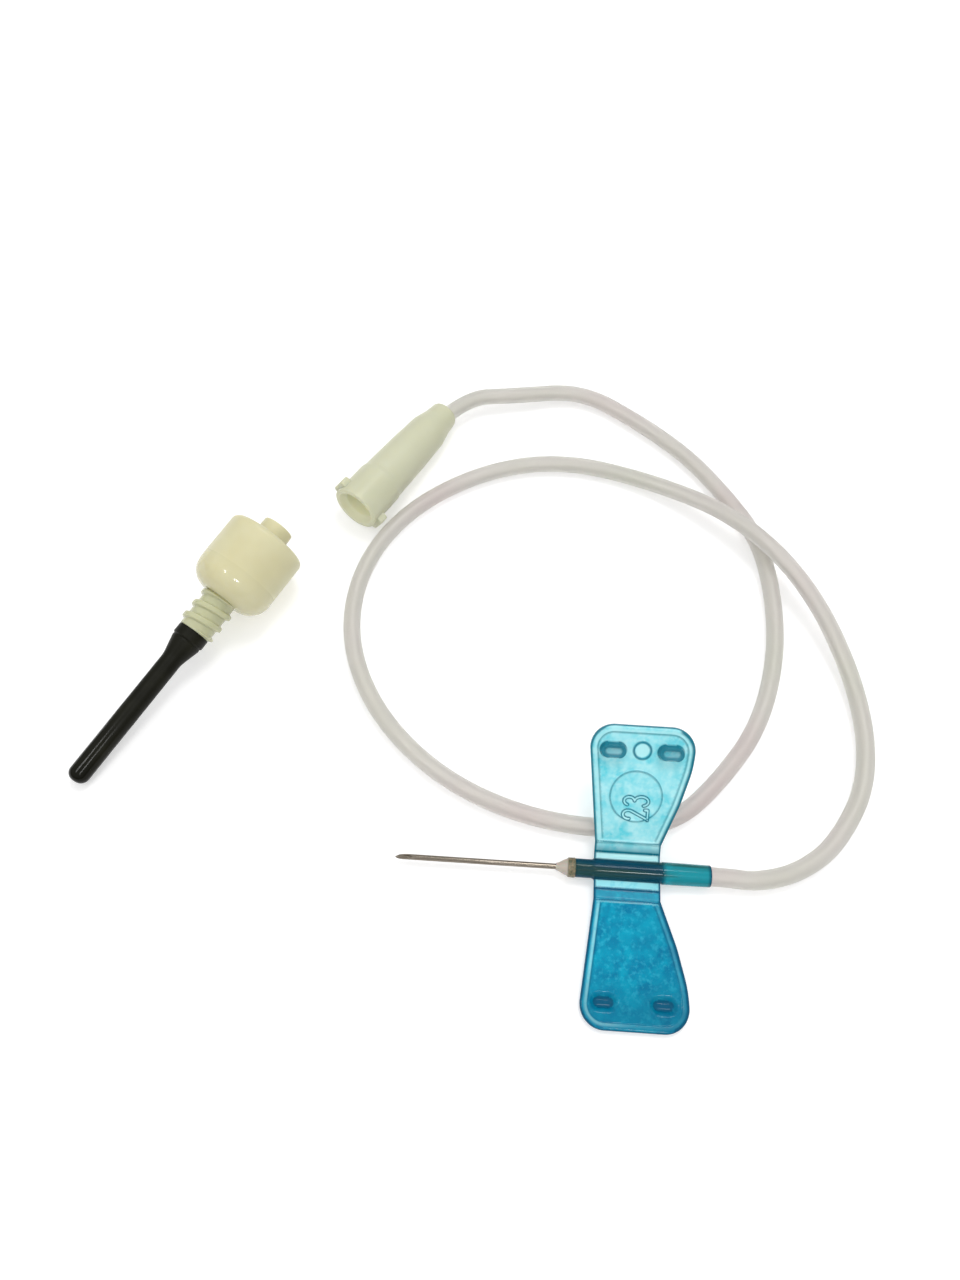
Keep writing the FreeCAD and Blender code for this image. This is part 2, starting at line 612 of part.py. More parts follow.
def build_adapter():
    pitch, height = adapter_lie()
    spot = (S["adapter_x"], S["adapter_y"], height, S["adapter_heading"], pitch)
    over = S["overshoot"]

    body = new_body("adapter_body")
    nose = S["nipple_start"]
    core, collar = S["core_od"] / 2, S["collar_od"] / 2
    cone_root = S["male_tip_od"] / 2 + (S["male_tip_at"] - S["collar_floor"]) * S["luer_slope"] / 2
    profile = polygon(body, "adapter_profile", "XZ_Plane", [
        (nose, 0), (S["male_tip_at"], 0), (S["male_tip_at"], S["male_tip_od"] / 2),
        (S["collar_floor"], cone_root), (S["collar_floor"], S["collar_bore"] / 2),
        (S["collar_rim"], S["collar_bore"] / 2), (S["collar_rim"], collar),
        (S["thread_end"], collar), (S["thread_end"], core), (S["sleeve_end"], core),
        (S["sleeve_end"], S["nipple_od"] / 2),
        (nose + S["nipple_cone"], S["nipple_od"] / 2), (nose, S["nipple_tip_od"] / 2)])
    revolve(body, profile, "adapter_moulding")
    dress(body, "Fillet", "shoulder", S["shoulder_round"],
          round_edge_at(S["thread_end"], collar))
    dress(body, "Fillet", "collar_rim_round", S["collar_lip"],
          round_edge_at(S["collar_rim"], collar))
    seat = S["rear_od"] / 2 + S["bond_gap"]
    past = S["male_tip_at"] + over
    bores = polygon(body, "adapter_bores", "XZ_Plane", [
        (nose - over, 0), (past, 0), (past, S["flow_bore"] / 2),
        (S["rear_seat"], S["flow_bore"] / 2), (S["rear_seat"], seat), (nose - over, seat)])
    revolve(body, bores, "adapter_bore", cut=True)
    place(body, *spot)

    rear = cannula("rear_cannula", S["rear_tip"], S["rear_seat"], S["rear_od"], S["rear_id"],
                   S["rear_bevel"])
    place(rear, *spot)

    bead = new_body("rear_adhesive")
    profile = polygon(bead, "bead_profile", "XZ_Plane", [
        (nose - S["bead_length"], seat), (nose, seat), (nose, S["bead_od"] / 2),
        (nose - S["bead_length"], S["bead_tip_od"] / 2)])
    revolve(bead, profile, "bead")
    place(bead, *spot)

    sleeve = new_body("rubber_sleeve")
    outer, gap = S["sleeve_od"] / 2, S["nipple_gap"]
    hole = S["sleeve_bore"] / 2
    profile = polygon(sleeve, "sleeve_profile", "XZ_Plane", [
        (0, 0), (S["sleeve_end"], 0), (S["sleeve_end"], S["sleeve_root_od"] / 2),
        (S["flare_end"], S["sleeve_root_od"] / 2), (S["flare_start"], outer), (0, outer)])
    revolve(sleeve, profile, "sleeve_outside")
    dress(sleeve, "Fillet", "sleeve_tip", S["sleeve_tip_round"],
          round_edge_at(as_size(0), outer))
    wide = S["nipple_od"] / 2 + gap
    front = S["nipple_tip_od"] / 2 + gap
    inside = polygon(sleeve, "sleeve_inside", "XZ_Plane", [
        (S["sleeve_tip_wall"], 0), (S["sleeve_end"] + over, 0), (S["sleeve_end"] + over, wide),
        (nose + S["nipple_cone"] - gap, wide), (nose - gap, front), (nose - gap, hole),
        (S["sleeve_tip_wall"], hole)])
    revolve(sleeve, inside, "sleeve_bore", cut=True)
    place(sleeve, *spot)


def tube_path(points):
    """Straight runs joined by tangent arcs, each as large as its runs allow."""
    edges = []
    radii = []
    start = points[0]
    for number in range(1, len(points) - 1):
        back = points[number - 1] - points[number]
        ahead = points[number + 1] - points[number]
        shorter = min(back.Length, ahead.Length) * ARC_SHARE
        turn = math.pi - back.getAngle(ahead)
        radii.append(shorter / math.tan(turn / 2))
        back.normalize()
        ahead.normalize()
        first = points[number] + back * shorter
        last = points[number] + ahead * shorter
        inwards = (back + ahead).normalize()
        rise = radii[-1] / math.cos(turn / 2) - radii[-1]
        edges.append(Part.LineSegment(start, first).toShape())
        edges.append(Part.Arc(first, points[number] + inwards * rise, last).toShape())
        start = last
    edges.append(Part.LineSegment(start, points[-1]).toShape())
    print("tube radii %s" % " ".join("%.1f" % radius for radius in radii))
    return Part.Wire(edges)


def build_tube():
    """The tubing follows its way; its two ends sit in the barrel's tail and the connector."""
    first = FreeCAD.Vector(hub_x.number + S["tube_stop"].number, hub_y.number,
                           axis_height.number)
    lead = FreeCAD.Vector(first)
    lead.x = hub_x.number + S["barrel_length"].number + S["lead_at_barrel"].number
    pitch, height = connector_lie()
    heading = math.radians(S["connector_heading"].number)
    lift = math.radians(pitch.number)
    way = FreeCAD.Vector(math.cos(heading) * math.cos(lift),
                         math.sin(heading) * math.cos(lift), math.sin(lift))
    tail = FreeCAD.Vector(S["connector_x"].number, S["connector_y"].number, height.number)
    end = tail - way * S["lead_at_connector"].number
    last = tail + way * (S["con_socket_depth"].number * TUBE_SEAT)
    points = [first, lead] + [FreeCAD.Vector(*each) for each in TUBE_WAY] + [end, last]
    path = tube_path(points)
    along = points[1] - points[0]
    outside, bore = [Part.Face(Part.Wire(Part.makeCircle(S[each].number / 2, first, along)))
                     for each in ("tube_od", "tube_id")]
    section = outside.cut(bore).Faces[0]
    tube = doc.addObject("Part::Feature", "tubing")
    tube.Label = "tubing"
    tube.Shape = path.makePipe(section)
    tube.Placement = FreeCAD.Placement()
    expected = section.Area * path.Length
    print("tube length %.1f volume %.2f expected %.2f"
          % (path.Length, tube.Shape.Volume, expected))
    assert abs(tube.Shape.Volume / expected - 1) < 0.01


build_front()
build_wings()
build_connector()
build_adapter()
build_tube()
doc.recompute()

for each in doc.Objects:
    assert "Invalid" not in each.State and "Error" not in each.State, each.Name
NODES = ["needle_cannula", "needle_adhesive", "wing_hub", "far_wing", "near_wing", "tubing",
         "luer_connector", "adapter_body", "rear_cannula", "rear_adhesive", "rubber_sleeve"]
os.makedirs("parts", exist_ok=True)
for name in NODES:
    shape = doc.getObjectsByLabel(name)[0].Shape
    assert not shape.isNull() and shape.isValid(), name
    assert len(shape.Solids) == 1, name
for name in NODES:
    shape = doc.getObjectsByLabel(name)[0].Shape
    shape.exportStep("parts/%s.step" % name)
    box = shape.BoundBox
    print("%-16s %9.2f mm3  x %.2f %.2f  y %.2f %.2f  z %.2f %.2f"
          % (name, shape.Volume, box.XMin, box.XMax, box.YMin, box.YMax, box.ZMin, box.ZMax))
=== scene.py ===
import math

import bpy
import numpy as np
from mathutils import Matrix, Vector, noise
from mathutils.geometry import delaunay_2d_cdt


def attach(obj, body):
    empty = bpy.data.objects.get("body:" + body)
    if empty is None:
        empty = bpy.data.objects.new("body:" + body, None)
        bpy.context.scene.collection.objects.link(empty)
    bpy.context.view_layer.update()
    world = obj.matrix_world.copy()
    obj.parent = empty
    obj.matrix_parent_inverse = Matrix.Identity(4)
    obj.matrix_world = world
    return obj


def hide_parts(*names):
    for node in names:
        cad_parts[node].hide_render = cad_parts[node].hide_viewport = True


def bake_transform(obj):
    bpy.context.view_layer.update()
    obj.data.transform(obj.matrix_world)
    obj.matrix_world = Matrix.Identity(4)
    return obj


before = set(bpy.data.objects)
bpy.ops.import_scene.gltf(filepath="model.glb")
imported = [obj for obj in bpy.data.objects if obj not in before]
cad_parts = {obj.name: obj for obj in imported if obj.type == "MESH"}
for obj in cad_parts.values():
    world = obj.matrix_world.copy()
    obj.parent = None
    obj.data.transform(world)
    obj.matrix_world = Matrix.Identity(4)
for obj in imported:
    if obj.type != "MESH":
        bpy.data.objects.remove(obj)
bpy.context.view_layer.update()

MM = 0.001  # sizes here are millimetres, Blender's are metres
scene = bpy.context.scene


# --- places, as in the part's source (millimetres, degrees) ---------------------------

def lie(x, y, z, heading=0.0, pitch=0.0, roll=0.0):
    """Where a piece lies: heading about Z, pitch lifts its X axis, roll about its X axis."""
    return (Matrix.Translation(Vector((x, y, z)))
            @ Matrix.Rotation(math.radians(heading), 4, "Z")
            @ Matrix.Rotation(math.radians(-pitch), 4, "Y")
            @ Matrix.Rotation(math.radians(roll), 4, "X"))


HUB = lie(22.86, -12.18, 1.29)
CONNECTOR = lie(2.67, 51.85, 2.5246, -121.1, 2.907, -30.0)
ADAPTER = lie(-37.68, -5.7, 1.3283, 58.87, 7.629)
WAY = CONNECTOR.to_3x3() @ Vector((1, 0, 0))
TAIL = CONNECTOR.to_translation()

ROUTE = [
    (34.11, -12.18, 1.29), (40.13, -12.18, 1.29),
    (43.86, -12.46, 1.2), (48.77, -11.07, 1.12), (53.57, -7.37, 1.12), (58.21, 0.97, 1.12),
    (58.06, 12.61, 1.12), (52.46, 25.51, 3.85), (43.86, 35.71, 3.85), (32.16, 42.91, 1.12),
    (19.56, 45.61, 1.12), (8.56, 42.91, 1.12), (-1.14, 36.01, 1.12), (-6.54, 27.01, 1.12),
    (-7.34, 16.51, 1.12), (-3.24, 6.61, 1.12), (4.66, -1.29, 1.12), (14.56, -5.99, 1.12),
    (25.56, -7.59, 1.12), (34.46, -6.19, 1.12), (40.16, -0.49, 1.12), (45.46, 7.11, 1.12),
    (48.16, 17.21, 1.12), (48.16, 27.21, 1.12), (46.46, 34.91, 1.12), (42.26, 41.51, 1.12),
    (37.46, 47.51, 1.12), (31.16, 52.71, 1.12), (22.26, 58.31, 1.25), (12.66, 56.11, 2.0),
    tuple(TAIL - WAY * 3.55), tuple(TAIL + WAY * 6.51),
]


# --- camera and light -----------------------------------------------------------------

CAMERA_SPOT = (13.51, -37.99, 113.0)
CAMERA_AHEAD = (-0.0287, 0.4374, -0.8988)
FOCAL_PIXELS, PHOTO_HEIGHT = 962.0, 1280.0
SENSOR = 36.0

camera = bpy.data.objects.new("camera", bpy.data.cameras.new("camera"))
scene.collection.objects.link(camera)
camera.location = Vector(CAMERA_SPOT) * MM
camera.rotation_mode = "QUATERNION"
camera.rotation_quaternion = Vector(CAMERA_AHEAD).normalized().to_track_quat("-Z", "Y")
camera.data.sensor_width = SENSOR
camera.data.lens = SENSOR * FOCAL_PIXELS / PHOTO_HEIGHT
camera.data.clip_start, camera.data.clip_end = 0.005, 10.0
scene.camera = camera

scene.view_settings.view_transform = "Standard"
scene.view_settings.look = "None"


def srgb(text):
    """Six hex digits as a colour in linear light."""
    parts = [int(text[n:n + 2], 16) / 255 for n in (0, 2, 4)]
    return tuple(p / 12.92 if p <= 0.04045 else ((p + 0.055) / 1.055) ** 2.4
                 for p in parts) + (1.0,)


def lamp(name, spot, target, size, watts, shadow=True):
    """A round area lamp at spot that looks at target, in metres."""
    data = bpy.data.lights.new(name, "AREA")
    data.use_shadow = shadow
    data.shape = "DISK"
    data.size = size
    data.energy = watts
    made = bpy.data.objects.new(name, data)
    scene.collection.objects.link(made)
    made.location = spot
    made.rotation_mode = "QUATERNION"
    made.rotation_quaternion = (Vector(target) - Vector(spot)).to_track_quat("-Z", "Y")


lamp("key", (0.07, 0.17, 0.42), (0.02, 0.0, 0.0), size=0.14, watts=0.4)
lamp("left", (-0.164, -0.04, 0.40), (-0.03, 0.0, 0.0), size=0.05, watts=0.2, shadow=False)
lamp("front", (0.088, -0.19, 0.357), (-0.02, 0.0, 0.0), size=0.05, watts=0.2, shadow=False)

SKY_STRENGTH = 0.78
HORIZON, ZENITH = (0.16, 0.16, 0.165, 1), (1.0, 1.0, 1.0, 1)

world = bpy.data.worlds.new("studio")
scene.world = world
world.use_nodes = True
tree = world.node_tree
tree.nodes.clear()
coords = tree.nodes.new("ShaderNodeTexCoord")
split = tree.nodes.new("ShaderNodeSeparateXYZ")
ramp = tree.nodes.new("ShaderNodeValToRGB")
sky = tree.nodes.new("ShaderNodeBackground")
out = tree.nodes.new("ShaderNodeOutputWorld")
ramp.color_ramp.elements[0].position = 0.02
ramp.color_ramp.elements[0].color = HORIZON
ramp.color_ramp.elements[1].position = 0.55
ramp.color_ramp.elements[1].color = ZENITH
sky.inputs["Strength"].default_value = SKY_STRENGTH
tree.links.new(coords.outputs["Generated"], split.inputs[0])
tree.links.new(split.outputs["Z"], ramp.inputs["Fac"])
tree.links.new(ramp.outputs["Color"], sky.inputs["Color"])
backdrop = tree.nodes.new("ShaderNodeBackground")
backdrop.inputs["Color"].default_value = (1.0, 1.0, 1.0, 1)
rays = tree.nodes.new("ShaderNodeLightPath")
either = tree.nodes.new("ShaderNodeMixShader")
tree.links.new(rays.outputs["Is Camera Ray"], either.inputs[0])
tree.links.new(sky.outputs[0], either.inputs[1])
tree.links.new(backdrop.outputs[0], either.inputs[2])
tree.links.new(either.outputs[0], out.inputs["Surface"])


# --- materials ------------------------------------------------------------------------

class Look:
    """A node material round one Principled shader."""

    def __init__(self, name, **values):
        self.material = bpy.data.materials.new(name)
        self.material.use_nodes = True
        self.tree = self.material.node_tree
        self.shader = self.tree.nodes["Principled BSDF"]
        for key, value in values.items():
            self.shader.inputs[key.replace("_", " ")].default_value = value
        self.coords = self.add("TexCoord").outputs["Object"]

    def add(self, kind, **settings):
        node = self.tree.nodes.new("ShaderNode" + kind)
        for key, value in settings.items():
            setattr(node, key, value)
        return node

    def link(self, a, b):
        self.tree.links.new(a, b)

    def stretched(self, matrix, scale):
        """Object coordinates in the piece's own axes, times a scale per axis."""
        node = self.add("Mapping")
        turned = matrix.inverted()
        node.inputs["Rotation"].default_value = turned.to_euler("XYZ")
        second = self.add("Mapping")
        second.inputs["Scale"].default_value = scale
        self.link(self.coords, node.inputs["Vector"])
        self.link(node.outputs[0], second.inputs["Vector"])
        return second.outputs[0]

    def noise(self, scale, detail, rough=0.55, where=None):
        """Cloudy noise; the scale is per metre of object coordinates."""
        node = self.add("TexNoise")
        node.inputs["Scale"].default_value = scale
        node.inputs["Detail"].default_value = detail
        node.inputs["Roughness"].default_value = rough
        self.link(where or self.coords, node.inputs["Vector"])
        return node.outputs["Fac"]

    def ramp(self, value, stops):
        """A colour from a value, by stops of (position, colour)."""
        node = self.add("ValToRGB")
        elements = node.color_ramp.elements
        while len(elements) < len(stops):
            elements.new(0.5)
        for element, (position, colour) in zip(elements, stops):
            element.position = position
            element.color = colour
        self.link(value, node.inputs["Fac"])
        return node.outputs["Color"]

    def spread(self, value, low, high, start=0.3, stop=0.7):
        """The stretch from start to stop of a value as low to high."""
        node = self.add("MapRange")
        for key, number in (("From Min", start), ("From Max", stop), ("To Min", low),
                            ("To Max", high)):
            node.inputs[key].default_value = number
        self.link(value, node.inputs["Value"])
        return node.outputs[0]

    def mix(self, share, first, second):
        """Between two colours, each a tuple or a socket."""
        node = self.add("Mix", data_type="RGBA")
        colour_a, colour_b, colour_out = node.inputs[6], node.inputs[7], node.outputs[2]
        self.link(share, node.inputs["Factor"])
        for socket, value in ((colour_a, first), (colour_b, second)):
            if isinstance(value, tuple):
                socket.default_value = value
            else:
                self.link(value, socket)
        return colour_out

    def sum(self, first, second):
        node = self.add("Math", operation="ADD")
        self.link(first, node.inputs[0])
        self.link(second, node.inputs[1])
        return node.outputs[0]

    def attribute(self, name):
        return self.add("Attribute", attribute_name=name).outputs["Fac"]

    def set(self, key, value):
        self.link(value, self.shader.inputs[key])

    def bump(self, height, strength, distance):
        node = self.add("Bump")
        node.inputs["Strength"].default_value = strength
        node.inputs["Distance"].default_value = distance
        self.link(height, node.inputs["Height"])
        self.set("Normal", node.outputs[0])


def steel_look(name, matrix):
    look = Look(name, Metallic=1.0, Roughness=0.22)
    look.shader.inputs["Specular Tint"].default_value = (0.35, 0.34, 0.33, 1)
    streaks = look.noise(1.0, 4.0, 0.6, look.stretched(matrix, (250, 6000, 6000)))
    look.set("Base Color", look.ramp(streaks, [(0.3, srgb("766D60")), (0.7, srgb("A69D91"))]))
    look.set("Roughness", look.spread(streaks, 0.14, 0.3))
    look.bump(streaks, 0.1, 0.00002)
    return look.material


def wing_look(name, base, milky, bright, deep, fleck, patch, gloss):
    """Tinted vinyl, mottled at random; the bright colour is painted light and the deep colour
    painted shade, laid on where the wing's marks ask for them.
    """
    look = Look(name, Roughness=0.15, IOR=1.4, Transmission_Weight=0.2,
                Specular_IOR_Level=gloss)
    cloud = look.noise(patch, 2.0, 0.6)
    soft = look.noise(260, 2.0)
    ground = look.mix(look.spread(cloud, 0.0, 1.0, 0.38, 0.66), base, milky)
    ground = look.mix(look.spread(soft, 0.0, 0.6, 0.35, 0.7), ground, milky)
    # painted light: bright bands along rims and lines, and the pale thin web
    ground = look.mix(look.attribute("painted_light"), ground, bright)
    flecks = look.spread(look.noise(patch * 2.7, 2.0, 0.6), 0.0, 0.45, 0.5, 0.72)
    ground = look.mix(flecks, ground, fleck)
    # painted shade: dark rims, steps, lines, pegs and pockets
    look.set("Base Color", look.mix(look.attribute("tone"), ground, deep))
    look.set("Roughness", look.spread(cloud, 0.1, 0.15))
    look.bump(soft, 0.1, 0.00006)
    return look.material


def barrel_look(matrix):
    """Dark vinyl with streaks along the barrel; tone is the tail, rim its end."""
    look = Look("barrel_vinyl", Roughness=0.08, IOR=1.3, Transmission_Weight=0.5,
                Specular_IOR_Level=0.2)
    cloud = look.noise(700, 2.0)
    tail = look.ramp(look.attribute("tone"), [(0.0, srgb("00506A")), (1.0, srgb("24AFBD"))])
    streak = look.noise(1.0, 2.0, where=look.stretched(matrix, (50, 1100, 1100)))
    body = look.mix(look.spread(streak, 0.0, 0.6, 0.45, 0.62), tail, srgb("3E5F48"))
    look.set("Base Color", look.mix(look.attribute("rim"), body, srgb("085D7C")))
    look.set("Roughness", look.spread(cloud, 0.06, 0.12))
    look.bump(cloud, 0.06, 0.00003)
    return look.material


def tube_look():
    look = Look("tubing_vinyl", Roughness=0.33, IOR=1.45, Transmission_Weight=0.6,
                Specular_IOR_Level=0.3)
    cloud = look.noise(40, 2.0)
    look.set("Base Color", look.ramp(cloud, [(0.35, srgb("E6E5DD")), (0.5, srgb("E9E6E1")),
                                             (0.65, srgb("E8E0DD"))]))
    look.set("Roughness", look.spread(cloud, 0.31, 0.36))
    look.bump(look.noise(160, 1.0), 0.05, 0.00005)
    return look.material


def ivory_look(name, first, second, other):
    """Waxy resin; tone takes it to the other colour (painted light inside the connector's socket,
    the adapter's own greener thread), gloss polishes it.
    """
    look = Look(name, Roughness=0.35, IOR=1.49, Subsurface_Weight=0.5,
                Subsurface_Scale=0.0012, Specular_IOR_Level=0.35)
    look.shader.inputs["Subsurface Radius"].default_value = (1.0, 0.9, 0.6)
    cloud = look.noise(180, 2.0)
    ground = look.mix(look.spread(cloud, 0.0, 1.0), first, second)
    look.set("Base Color", look.mix(look.attribute("tone"), ground, other))
    look.set("Roughness", look.spread(look.attribute("gloss"), 0.32, 0.13, 0.0, 1.0))
    return look.material


def glue_look(name, pale, dark):
    """Speckled adhesive, dark where tone is high."""
    look = Look(name, Roughness=0.35, Subsurface_Weight=0.3, Subsurface_Scale=0.0005,
                Transmission_Weight=0.15)
    speckle = look.noise(3200, 4.0, 0.7)
    ring = look.mix(look.spread(speckle, 0.0, 1.0, 0.4, 0.6), dark, srgb("A18E6D"))
    look.set("Base Color", look.mix(look.attribute("tone"), pale, ring))
    look.bump(speckle, 0.3, 0.00005)
    return look.material


def rubber_look():
    """Black rubber, duller where tone is high."""
    look = Look("sleeve_rubber", Roughness=0.2, IOR=1.5, Specular_IOR_Level=0.12)
    cloud = look.noise(300, 3.0)
    fine = look.noise(2200, 3.0)
    look.set("Base Color", look.ramp(cloud, [(0.3, srgb("111109")), (0.55, srgb("17170E")),
                                             (0.75, srgb("1E1E14"))]))
    look.set("Roughness", look.spread(look.attribute("tone"), 0.17, 0.42, 0.0, 1.0))
    look.bump(fine, 0.02, 0.00003)
    return look.material


STEEL = steel_look("steel_front", HUB)
REAR_STEEL = steel_look("steel_rear", ADAPTER)
# One vinyl for both wings: the far wing's pale colours are painted light, as it stands up off the
# floor, and the near wing's deep blues are painted shade, as it lies on the floor
FAR = wing_look("far_wing_vinyl", srgb("66DEEC"), srgb("BCF8FD"), srgb("C4FCFF"),
                srgb("007288"), srgb("CCFAFE"), 620, 0.2)
NEAR = wing_look("near_wing_vinyl", srgb("0082AB"), srgb("04A9C9"), srgb("A4F2FB"),
                 srgb("01587A"), srgb("3CCEE8"), 640, 0.16)
BARREL = barrel_look(HUB)
TUBE = tube_look()
# the connector's third colour is painted light for the inside of its socket
IVORY = ivory_look("connector_resin", srgb("D0D1B7"), srgb("CDCEB2"), srgb("E8E8CC"))
CREAM = ivory_look("adapter_resin", srgb("DCD8B4"), srgb("D5CFA6"), srgb("C3C4A1"))
GLUE = glue_look("needle_glue", srgb("C9C0B4"), srgb("525F4A"))
BEAD = glue_look("bead_glue", srgb("C9C0B4"), srgb("8A8478"))
RUBBER = rubber_look()


# --- mesh helpers ---------------------------------------------------------------------

def finish_mesh(name, verts, faces, material, sharp, marks=None):
    """A smooth mesh in millimetres; sharp is the angle from which an edge stays hard."""
    mesh = bpy.data.meshes.new(name)
    mesh.from_pydata([tuple(Vector(v) * MM) for v in verts], [], faces)
    mesh.validate()
    mesh.materials.append(material)
    mesh.shade_smooth()
    mesh.set_sharp_from_angle(angle=math.radians(sharp))
    for mark, values in (marks or {}).items():
        made = mesh.attributes.new(mark, "FLOAT", "POINT")
        made.data.foreach_set("value", np.asarray(values, np.float32))
    piece = bpy.data.objects.new(name, mesh)
    scene.collection.objects.link(piece)
    return piece


def rounded(points, closed=True, step=9.0):
    """Corners (x, y, radius) as a run of points with the corners rounded."""
    made = []
    count = len(points)
    for n, (x, y, radius) in enumerate(points):
        here = Vector((x, y))
        if radius <= 0 or (not closed and n in (0, count - 1)):
            made.append(here)
            continue
        back = (Vector(points[n - 1][:2]) - here).normalized()
        on = (Vector(points[(n + 1) % count][:2]) - here).normalized()
        half = math.acos(max(-1, min(1, back.dot(on)))) / 2
        centre = here + (back + on).normalized() * (radius / math.sin(half))
        start = here + back * (radius / math.tan(half)) - centre
        end = here + on * (radius / math.tan(half)) - centre
        turn = math.atan2(start.x * end.y - start.y * end.x, start.dot(end))
        steps = max(2, int(math.degrees(abs(turn)) / step) + 1)
        for k in range(steps + 1):
            a = turn * k / steps
            made.append(centre + Vector((start.x * math.cos(a) - start.y * math.sin(a),
                                         start.x * math.sin(a) + start.y * math.cos(a))))
    return made


def refine(points, step, closed=True):
    """The same run with no stretch longer than step."""
    made = []
    count = len(points)
    for n in range(count if closed else count - 1):
        a, b = points[n], points[(n + 1) % count]
        parts = max(1, math.ceil((b - a).length / step))
        made += [a.lerp(b, k / parts) for k in range(parts)]
    if not closed:
        made.append(points[-1])
    return made


def lathe(name, profile, place, material, turns=72, radius=None, marks=None, sharp=35.0):
    """Turns a closed outline of (x, r) about X; radius(x, r, angle) may change it.

    marks gives a function of (x, r) for each attribute that the material reads.
    """
    verts, rings, spots = [], [], []
    for x, r in profile:
        ring = []
        for k in range(turns if r > 1e-5 else 1):
            a = 2 * math.pi * k / turns
            far = radius(x, r, a) if radius else r
            ring.append(len(verts))
            verts.append(place @ Vector((x, far * math.cos(a), far * math.sin(a))))
            spots.append((x, r))
        rings.append(ring)
    faces = []
    for n, a in enumerate(rings):
        b = rings[(n + 1) % len(rings)]
        if len(a) == 1 and len(b) == 1:
            continue
        for k in range(turns):
            m = (k + 1) % turns
            if len(a) == 1:
                faces.append((a[0], b[k], b[m]))
            elif len(b) == 1:
                faces.append((a[k], b[0], a[m]))
            else:
                faces.append((a[k], b[k], b[m], a[m]))
    values = {mark: [float(rule(x, r)) for x, r in spots] for mark, rule in (marks or {}).items()}
    return outward(finish_mesh(name, verts, faces, material, sharp, values))


def outward(piece):
    """Faces of a closed mesh look out of its volume."""
    mesh = piece.data
    mesh.calc_loop_triangles()
    co = np.array([v.co for v in mesh.vertices])
    tri = np.array([t.vertices for t in mesh.loop_triangles])
    a, b, c = co[tri[:, 0]], co[tri[:, 1]], co[tri[:, 2]]
    if np.einsum("ij,ij->i", a, np.cross(b, c)).sum() < 0:
        mesh.flip_normals()
    return piece


def smooth(low, high, value):
    """0 up to low, 1 from high on, and a smooth step between."""
    t = np.clip((value - low) / (high - low), 0, 1)
    return t * t * (3 - 2 * t)


def run_distance(spots, run, closed=False):
    """Distance of each spot (n, 2) to a run of points."""
    run = np.array([tuple(p) for p in run])
    a = run if closed else run[:-1]
    b = np.roll(run, -1, 0) if closed else run[1:]
    best = np.full(len(spots), 1e9)
    for p, q in zip(a, b):
        d = q - p
        t = np.clip(((spots - p) @ d) / max(d @ d, 1e-12), 0, 1)
        best = np.minimum(best, np.hypot(*(spots - p - t[:, None] * d).T))
    return best


# --- wings ----------------------------------------------------------------------------

# x runs back from the barrel's face and w outwards from its axis
FOLD, BEND = 1.7, 0.25  # where the web bends, and half the length of the bend
ROOT_W, WEB_END, NECK_END, WING_END = 1.0, 2.2, 3.3, 17.3
WEB_FRONT, WEB_REAR = 2.15, 9.8
WEB_HALF, NECK_HALF, PLATE_HALF = 0.175, 0.3, 0.45  # half thicknesses
RIM_ROUND = 0.3
PLATE_DIP = 0.1  # how far the plate's top lies below its rim
PEGS = [(3.45, 14.4), (10.05, 14.4)]
PEG_SIZE, PEG_HEIGHT, PEG_DISH = (3.05, 1.85), 1.0, 0.25
# the last size is the pocket's dark patch, painted shade smaller than the pocket
POCKET_SIZE, POCKET_DEPTH, POCKET_PAINTED_SHADE = (3.35, 2.15), 0.6, (2.4, 1.3)
SMALL_RING, LARGE_RING = (6.8, 14.45, 2.2), (6.45, 9.05, 6.2)  # x, w, diameter
LINE_HEIGHT = 0.12
FAR_TILT, NEAR_TILT = 33.0, -3.01
OUTLINE = [(WEB_FRONT, ROOT_W, 0), (WEB_FRONT, NECK_END, 0.4), (0.5, WING_END, 2.7),
           (13.1, WING_END, 2.8), (12.75, 12.5, 12.0), (11.6, 8.2, 12.0),
           (WEB_REAR, NECK_END, 0.4), (WEB_REAR, ROOT_W, 0)]
# distances from the rim, from a peg and from a ring at which the mesh has rows of points
RIM_ROWS = (0.03, 0.08, 0.14, 0.21, 0.3, 0.42, 0.55, 0.66, 0.74, 0.82, 0.92)
STEP_ROWS = (2.1, 2.15, 2.2, 2.25, 2.3, 3.2, 3.26, 3.32, 3.38, 3.5, 3.58, 3.66)
PEG_ROWS = (-0.3, -0.2, -0.13, -0.07, 0.0, 0.06, 0.14, 0.24)
RING_ROWS = (-0.42, -0.34, -0.26, -0.19, -0.06, 0.01, 0.09, 0.17)
FINE_STEP, COARSE_STEP = 0.16, 0.7


def glyph(strokes, x, w):
    """Strokes given in a glyph's own right and up; its top looks towards -X."""
    return [[Vector((x - v, w + u)) for u, v in stroke] for stroke in strokes]


def bow(cu, cv, ru, rv, start, stop, steps=14):
    """A bow of an ellipse round (cu, cv), from start to stop in degrees."""
    made = []
    for k in range(steps + 1):
        a = math.radians(start + (stop - start) * k / steps)
        made.append((cu + ru * math.cos(a), cv + rv * math.sin(a)))
    return made


TWO = [bow(0.56, 2.3, 0.5, 0.62, 190, -30) + [(0.08, 0.12)], [(0.0, 0.08), (1.15, 0.08)],
       [(1.15, 0.08), (1.15, 0.42)]]
THREE = [bow(0.52, 2.28, 0.48, 0.6, 160, -80), bow(0.52, 0.88, 0.55, 0.8, 85, -160)]
DIGITS = glyph(TWO, 8.0, 6.3) + glyph(THREE, 8.0, 7.95)


def stadium(spots, x, w, size):
    """Signed distance to an oblong of (length, width) that is long in x."""
    length, width = size
    reach = (length - width) / 2
    dx = np.maximum(np.abs(spots[:, 0] - x) - reach, 0)
    return np.hypot(dx, spots[:, 1] - w) - width / 2


